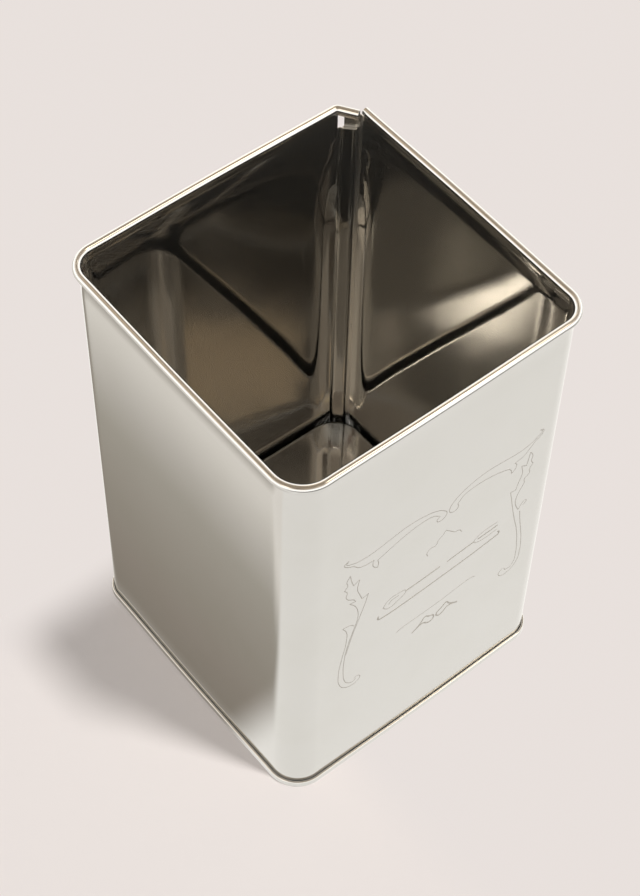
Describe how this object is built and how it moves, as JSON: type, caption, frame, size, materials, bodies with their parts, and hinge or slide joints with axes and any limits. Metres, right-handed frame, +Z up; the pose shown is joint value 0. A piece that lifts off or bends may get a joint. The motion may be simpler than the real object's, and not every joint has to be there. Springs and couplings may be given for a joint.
{
  "type": "utensil holder",
  "caption": "Square open-topped utensil holder of polished steel sheet, with a rolled rim, a lock seam in one corner and a seamed recessed base.",
  "frame": {"origin": "on the surface it stands on, under the middle of the body", "axes": "+Z up through the open mouth, the engraved face looks along -Y, the lock seam is at the +X +Y corner"},
  "size_m": [0.1152, 0.1152, 0.18],
  "materials": {
    "body_steel": "polished",
    "base_steel": "polished"
  },
  "bodies": {
    "root": {"body_wrap": "body_steel", "base_panel": "base_steel"}
  },
  "joints": []
}
